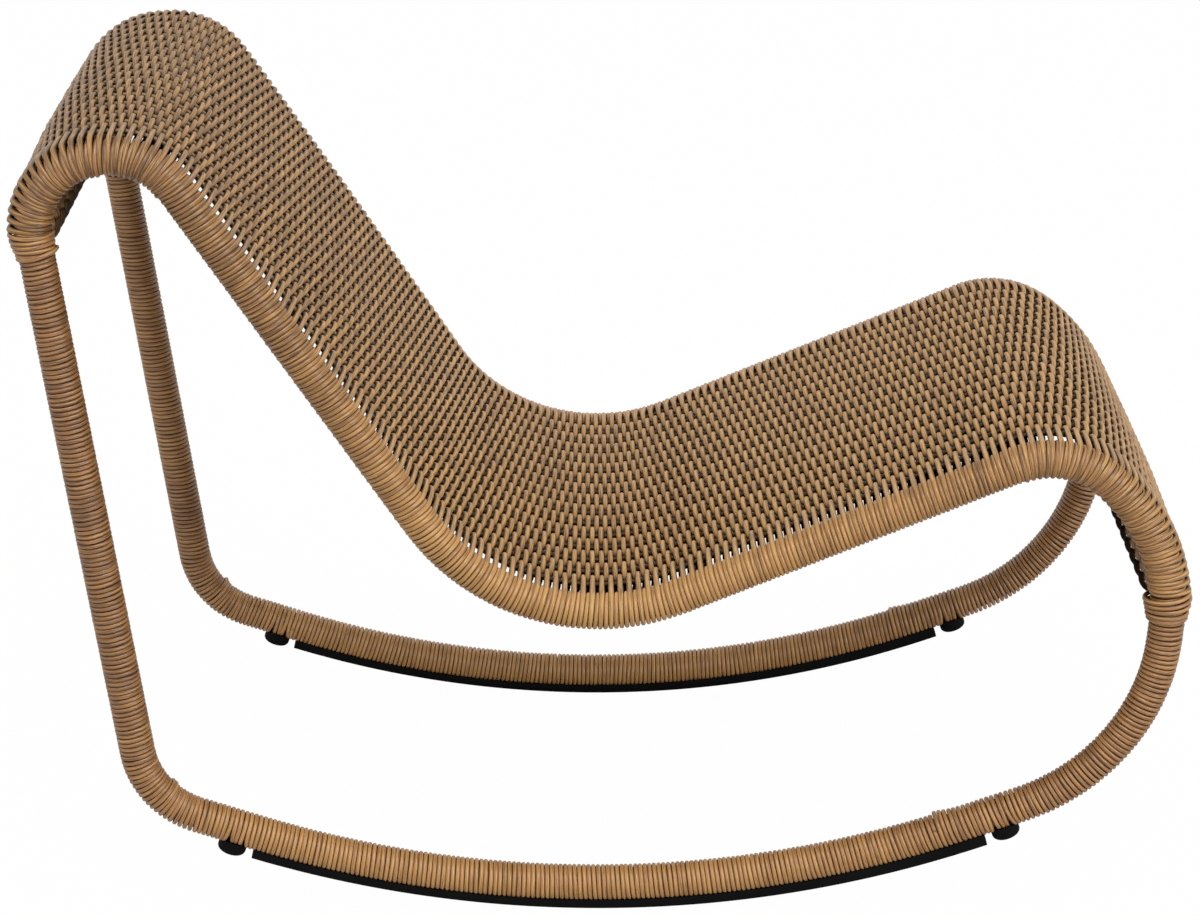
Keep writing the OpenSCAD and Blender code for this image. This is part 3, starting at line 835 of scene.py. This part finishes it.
    def _hook(self, s_end: float, inward: float, y: float) -> np.ndarray:
        """The end of a stake, bent down and round its end bar.

        Args:
            s_end: Distance along the loop to the end of the weave.
            inward: Sign of s from the end towards the middle of the sheet.
            y: Position across the chair.

        Returns:
            Points from the sheet round to the underside of the bar.
        """
        reach = self.bar_radius + 2 * self.stock.radius + self.stake_radius
        lift = float(self.height(s_end, y))
        knee = reach - self.bar_inset
        turn = np.radians(np.array([20.0, 40.0, 60.0, 80.0]))
        u = -knee * np.sin(turn)
        h = lift - knee * (1 - np.cos(turn))
        wrap = np.radians(np.arange(90.0, 216.0, 14.0))
        u = np.concatenate([u, self.bar_inset - reach * np.sin(wrap)])
        h = np.concatenate([h, -self.bar_drop + reach * np.cos(wrap)])
        return self.loop.place(s_end + inward * u, np.full(len(u), y), h)

    def build(self) -> None:
        """Weaves the panels, the turns on the rails and the stakes."""
        bends = [place(k) for k in (4, 5) for place in (self.loop.bend_start, self.loop.bend_end)]
        edges = [self.weave_start, *bends, self.loop.bend_start(6), self.weave_end + 9]
        panels = ("shin", "knee", "seat", "lumbar", "back", "head")
        cane = WOVEN_CANE.make()
        for panel, start, end in zip(panels, edges, edges[1:]):
            wefts = [self.weft(n) for n in range(self.wefts) if start <= self.weft_s(n) < end]
            node = f"{panel}_weave"
            self.stock.lay(f"{node}_strand", wefts, cane, "cane_weave", node)
        wound = WOUND_CANE.make()
        for side in Side:
            arrives = 1 if side is Side.LEFT else 0
            turns = [self.rail_turn(side, n) for n in range(arrives, self.wefts, 2)]
            name = f"{side.word}_rail"
            self.stock.lay(f"{name}_turns", turns, wound, "cane_wrap", f"{name}_wrap")
        stakes = [self.stake(k) for k in range(self.stake_count)]
        finish = SHADED_STAKE_CANE.make()
        self.stock.lay(
            "stake_strands", stakes, finish, "cane_stake", "weave_stakes", self.stake_radius
        )


# ---- windings on the tube


@dataclass(kw_only=True)
class Winding(OnFrame):
    """The close winding of one side: down the leg, round the heel, runner and toe.

    It is one helix, cut into the named wraps where the real strand was joined.
    """

    side: Side
    top: float
    bottom: float
    seed: int
    # Pitch by distance along the loop, counted past the loop's start
    pitch_at: tuple[float, ...] = (2540, 3100, 3185, 3840, 3860, 4200)
    pitch_is: tuple[float, ...] = (4.45, 4.45, 4.5, 4.5, 4.72, 4.72)
    # Painted light: tone by distance, the runner, lit from above, the lightest
    painted_light_at: tuple[float, ...] = (3000, 3100, 3200, 3700, 3850, 4000)
    painted_light_is: tuple[float, ...] = (-0.5, 0.1, 0.75, 0.6, 0.1, -0.2)
    # How much lighter the left leg is, as the photograph shows it
    # Painted light: the left leg is painted lighter for the light that reaches it
    left_leg: float = 0.45
    points_per_turn: int = 14
    # Distance, height and length on either side of the places where turns ride over a
    # tucked end, on the inner side of the loop
    bumps: tuple[tuple[float, float, float, float], ...] = ()
    feet: tuple[float, ...] = ()
    # Half the width of the turns that stay together over a foot, how far these draw
    # together, how far the next ones are pushed away and how fast that fades
    foot_group: float = 6.5
    foot_draw: float = 0.9
    foot_push: float = 3.0
    foot_fade: float = 7.0

    def __post_init__(self) -> None:
        """Runs the helix from the top of the leg to the shins."""
        grid = np.arange(self.top, self.bottom + 30, 0.5)
        turns = np.concatenate(
            [[0.0], np.cumsum(0.5 / np.interp(grid[:-1], self.pitch_at, self.pitch_is))]
        )
        self.grid, self.turns = grid, turns

    def strand(self, start: float, end: float) -> Strand:
        """One named stretch of the winding.

        Args:
            start: Distance along the loop where it begins, past the loop's start.
            end: Distance where it ends.

        Returns:
            The stretch as one strand.
        """
        first, last = np.interp([start, end], self.grid, self.turns)
        steps = self.points_per_turn
        whole = np.arange(math.floor(first * steps) + 1, math.ceil(last * steps)) / steps
        t = np.concatenate([[first], whole, [last]])
        angle = 3.6 - TURN * t
        s = np.interp(t, self.turns, self.grid)
        pitch = np.interp(s, self.pitch_at, self.pitch_is)
        sway = Wander(self.seed, 0.9)
        out = np.cos(angle)
        _, _, curvature = self.loop.stations(s)
        full = 2 * self.stock.radius
        reach = self.tube_radius + self.stock.radius + self.slack
        # On the inside of a bend every other turn rides up a little, the rest flattens
        room = np.minimum(pitch * (1 + curvature * out * reach), full)
        odd = (np.floor(t + 0.25) % 2).astype(float)
        lift = 0.1 * np.sqrt(full**2 - room**2) * odd
        for place, height, before, after in self.bumps:
            away = s - place
            near = np.exp(-((away / np.where(away < 0, before, after)) ** 2))
            lift = lift + height * near * np.clip(0.45 - 0.7 * out, 0, 1)
        # Wound by hand, the turns lean a little, a few of them together
        lean = 0.8 * sway.at(t * 0.16 + 40) + 0.25 * sway.at(t * 0.9 + 80)
        s = s + lean * np.cos(angle + 0.6) + 0.12 * sway.at(t * 2.3)
        for foot in self.feet:
            away = s - foot
            beyond = np.abs(away) - self.foot_group
            pushed = self.foot_push * np.exp(-np.abs(beyond) / self.foot_fade)
            spread = np.where(beyond > 0, pushed, -self.foot_draw)
            s = s + np.sign(away) * spread * np.clip(out + 0.15, 0, 1) ** 1.2
        radius = reach + lift + 0.1 * sway.at(t * 3.1 + 90)
        y = self.side.value * (self.half_width + radius * np.sin(angle))
        facing = self.loop.facing(s, self.side.value * np.sin(angle), out)
        # Painted light: tone by stretch for the light on it, the left leg lighter
        tone = np.interp(s, self.painted_light_at, self.painted_light_is)
        if self.side is Side.LEFT:
            tone = tone + self.left_leg * np.clip((3000.0 - s) / 100.0, 0, 1)
        return Strand(self.loop.place(s, y, radius * out), tone, facing=facing)


@dataclass
class TubeWindings(OnFrame):
    """All close windings: legs, heels, runners, toes and the two end bars."""

    heel_join: float = 60.0
    runner_join: float = 141.5
    toe_join: float = 800.5
    foot_places: tuple[float, float] = (129.0, 863.0)
    # Where the leg winding comes out from under the rear lashing
    leg_start: float = 2556.0
    bar_half: float = 243.4
    bar_pitch: float = 4.5
    bar_steps: int = 12
    bar_tone: float = -0.2

    def build(self) -> None:
        """Winds every tube."""
        finish = WOUND_CANE.make()
        whole = self.loop.length
        joins = [
            self.leg_start,
            whole + self.heel_join,
            whole + self.runner_join,
            whole + self.toe_join,
            whole + self.weave_start,
        ]
        for side in Side:
            winding = Winding(
                self.loop,
                self.stock,
                side=side,
                top=joins[0],
                bottom=joins[-1],
                seed=40 if side is Side.LEFT else 20,
                bumps=((joins[1] - 9.5, 3.8, 2.4, 2.8), (joins[3] + 3, 2.4, 1.2, 13.0)),
                feet=tuple(whole + place for place in self.foot_places),
            )
            names = ("leg", "heel", "runner", "toe")
            for name, start, end in zip(names, joins, joins[1:]):
                node = f"{side.word}_{name}_wrap"
                strand = winding.strand(start, end)
                self.stock.lay(f"{node}_strand", [strand], finish, "cane_wrap", node)
        for node, s_bar in (
            ("front_crossbar_wrap", self.weave_start + self.bar_inset),
            ("head_crossbar_wrap", self.weave_end - self.bar_inset),
        ):
            strand = self._bar_strand(s_bar)
            self.stock.lay(f"{node}_strand", [strand], finish, "cane_wrap", node)

    def _bar_strand(self, s_bar: float) -> Strand:
        """The winding on an end bar at distance s_bar along the loop."""
        turns = 2 * self.bar_half / self.bar_pitch
        t = np.linspace(0, turns, int(turns * self.bar_steps) + 1)
        angle = t * TURN
        reach = self.bar_radius + self.stock.radius + 0.05
        y = -self.bar_half + t * self.bar_pitch
        s = s_bar + reach * np.sin(angle)
        path = self.loop.place(s, y, -self.bar_drop + reach * np.cos(angle))
        return Strand(path, self.bar_tone)


@dataclass
class Lashings(OnFrame):
    """The four lashings: fat at the shins, flatter and knotted at the head.

    Each strand is bound over the end of the winding, where the sheet begins or ends. A
    course lists turns, and for each how far the strand has come from the sheet and its
    radius about the tube axis.
    """

    front_start: float = 1152.5
    rear_start: float = 2536.0
    tone: float = 0.05
    steps_per_turn: int = 20
    front_course: tuple[tuple[float, ...], ...] = (
        (0.0, 0.25, 0.5, 0.75, 1.25, 1.5, 1.75, 2.25, 2.5, 2.75, 3.25, 3.75, 4.25, 4.75, 5.2),
        (0.0, 0.3, 2.0, 3.5, 5.6, 7.5, 9.0, 10.8, 12.5, 14.0, 18.0, 19.5, 22.0, 24.0, 26.0),
        (17.4, 20.4, 20.4, 21.4, 20.6, 20.0, 20.9, 19.6, 19.4, 20.2, 17.6, 19.6, 17.0, 18.2, 16.6),
    )
    rear_course: tuple[tuple[float, ...], ...] = (
        (0.0, 0.25, 0.75, 1.25, 1.75, 2.25, 2.75, 3.25, 3.75, 4.25, 4.75, 5.25, 5.5, 5.75),
        (0.0, 0.9, 2.9, 5.1, 7.3, 9.5, 11.7, 13.9, 16.1, 18.2, 20.2, 22.0, 20.4, 16.8),
        (17.4, 21.4, 17.2, 20.5, 17.0, 19.7, 16.8, 18.6, 16.6, 17.4, 16.2, 16.4, 18.6, 19.6),
    )

    def build(self) -> None:
        """Binds the four lashings."""
        finish = WOUND_CANE.make()
        number = 0
        for side in Side:
            for place, start, away, course in (
                ("front", self.front_start, -1.0, self.front_course),
                ("head", self.rear_start, 1.0, self.rear_course),
            ):
                number += 1
                node = f"{side.word}_{place}_lashing"
                strand = self._strand(side, start, away, course, Wander(30 + number, 1.0))
                self.stock.lay(f"{node}_strand", [strand], finish, "cane_wrap", node)

    def _strand(
        self,
        side: Side,
        start: float,
        away: float,
        course: tuple[tuple[float, ...], ...],
        sway: Wander,
    ) -> Strand:
        """Winds one lashing from the hidden side of the rail.

        Args:
            side: The rail.
            start: Distance along the loop where it begins.
            away: Sign of the distance from the sheet on.
            course: Turns, ways and radii.
            sway: The unevenness of the hand.

        Returns:
            The lashing as one strand.
        """
        turns_at, come_to, radius_is = course
        t = np.arange(0.0, turns_at[-1] + 0.01, 1 / self.steps_per_turn)
        angle = TURN * t - math.pi / 2
        come = np.interp(t, turns_at, come_to) + 0.4 * sway.at(t * 0.9)
        radius = np.interp(t, turns_at, radius_is) + 0.25 * sway.at(t * 2.0 + 9)
        radius = np.convolve(np.pad(radius, 3, mode="edge"), np.ones(7) / 7, "valid")
        s = start + away * come
        across = side.value * np.sin(angle)
        y = side.value * self.half_width + radius * across
        path = self.loop.place(s, y, radius * np.cos(angle))
        return Strand(path, self.tone, facing=self.loop.facing(s, across, np.cos(angle)))


# ---- carried-over pieces


@dataclass
class PlainNodes:
    """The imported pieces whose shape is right: they only get their finish."""

    finishes: dict[str, SolidFinish] = field(
        default_factory=lambda: {
            "tube": POWDER_COAT,
            "crossbar": POWDER_COAT,
            "sleeves": BARE_SLEEVE,
            "strip": RUBBER,
            "foot": RUBBER,
            "screws": ZINC,
        }
    )

    def finish(self) -> None:
        """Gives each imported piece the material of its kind."""
        made = {word: finish.make() for word, finish in self.finishes.items()}
        for name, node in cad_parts.items():
            word = name.rsplit("_", 1)[-1]
            if word in made:
                node.data.materials.clear()
                node.data.materials.append(made[word])
                log.info("%s: %s", name, made[word].name)


# ---- studio


@dataclass
class Studio:
    """Camera at the photograph's angle, a white floor and soft even light."""

    focal_px: float = 3650.0
    image_px: tuple[int, int] = (1200, 916)
    centre_px: tuple[float, float] = (598.0, 458.0)
    camera_at: tuple[float, float, float] = (-0.02261, -3.41495, 1.53109)
    yaw: float = 0.21
    pitch: float = 18.96
    roll: float = 0.07
    sensor_mm: float = 36.0
    floor_radius: float = 40.0
    floor_grey: float = 0.6
    # Share of plain white in the floor that the camera sees; the rest lets the chair's
    # shade show
    floor_white: float = 0.985
    # Strength of the surrounding light, which is seen as 1, white
    room_light: float = 0.85
    aim: tuple[float, float, float] = (0.0, 0.0, 0.35)

    def build(self) -> None:
        """Sets up the camera, the floor, the world and the lamps."""
        self._camera()
        self._floor()
        self._world()
        self._lamps()
        bpy.context.scene.view_settings.view_transform = "Standard"

    def _camera(self) -> None:
        """Places the camera with the fitted lens."""
        data = bpy.data.cameras.new("camera")
        data.sensor_width = self.sensor_mm
        data.lens = self.sensor_mm * self.focal_px / self.image_px[0]
        data.shift_x = (self.image_px[0] / 2 - self.centre_px[0]) / self.image_px[0]
        data.clip_end = 100.0
        camera = add_object("camera", data)
        turn = (
            Matrix.Rotation(math.radians(-self.yaw), 4, "Z")
            @ Matrix.Rotation(math.radians(90 - self.pitch), 4, "X")
            @ Matrix.Rotation(math.radians(self.roll), 4, "Z")
        )
        camera.matrix_world = Matrix.Translation(Vector(self.camera_at)) @ turn
        bpy.context.scene.camera = camera

    def _floor(self) -> None:
        """Lays a large pale floor under the runners."""
        shape = bmesh.new()
        bmesh.ops.create_circle(shape, cap_ends=True, segments=64, radius=self.floor_radius)
        mesh = bpy.data.meshes.new("floor")
        shape.to_mesh(mesh)
        shape.free()
        floor = add_object("floor", mesh)
        material = bpy.data.materials.new("white_floor")
        nodes = Shading(material)
        grey = (self.floor_grey, self.floor_grey, self.floor_grey, 1.0)
        matt = nodes.add("BsdfDiffuse", {"Color": grey, "Roughness": 0.0}).outputs["BSDF"]
        glow = nodes.add("Emission", {"Color": WHITE, "Strength": 1.0}).outputs[0]
        camera_ray = nodes.add("LightPath").outputs["Is Camera Ray"]
        share = nodes.scaled(camera_ray, self.floor_white)
        seen = nodes.add("MixShader", {0: share, 1: matt, 2: glow}).outputs[0]
        nodes.add("OutputMaterial", {"Surface": seen})
        floor.data.materials.append(material)

    def _world(self) -> None:
        """Fills the room with soft white light, seen as white."""
        world = bpy.data.worlds.new("studio")
        bpy.context.scene.world = world
        nodes = Shading(world)
        soft, seen = (
            nodes.add("Background", {"Color": WHITE, "Strength": strength}).outputs[0]
            for strength in (self.room_light, 1.0)
        )
        camera_ray = nodes.add("LightPath").outputs["Is Camera Ray"]
        mix = nodes.add("MixShader", {0: camera_ray, 1: soft, 2: seen}).outputs[0]
        nodes.add("OutputWorld", {"Surface": mix})

    def _lamps(self) -> None:
        """Hangs a soft lamp above the camera and a weaker, low one to its right."""
        for name, place, size, watts in (
            ("key", (0.5, -3.6, 5.2), 1.6, 95.0),
            ("fill", (3.4, -3.0, 1.3), 1.4, 42.0),
        ):
            data = bpy.data.lights.new(name, "AREA")
            data.shape = "DISK"
            data.size = size
            data.energy = watts
            towards = Vector(self.aim) - Vector(place)
            turn = towards.to_track_quat("-Z", "Y").to_matrix().to_4x4()
            add_object(name, data).matrix_world = Matrix.Translation(Vector(place)) @ turn


def main() -> None:
    logging.basicConfig(level=logging.INFO, format="%(name)s %(message)s")
    Studio().build()
    loop = SideLoop()
    stock = CaneStock()
    WovenSheet(loop, stock).build()
    TubeWindings(loop, stock).build()
    Lashings(loop, stock).build()
    PlainNodes().finish()


if __name__ == "__main__":
    main()
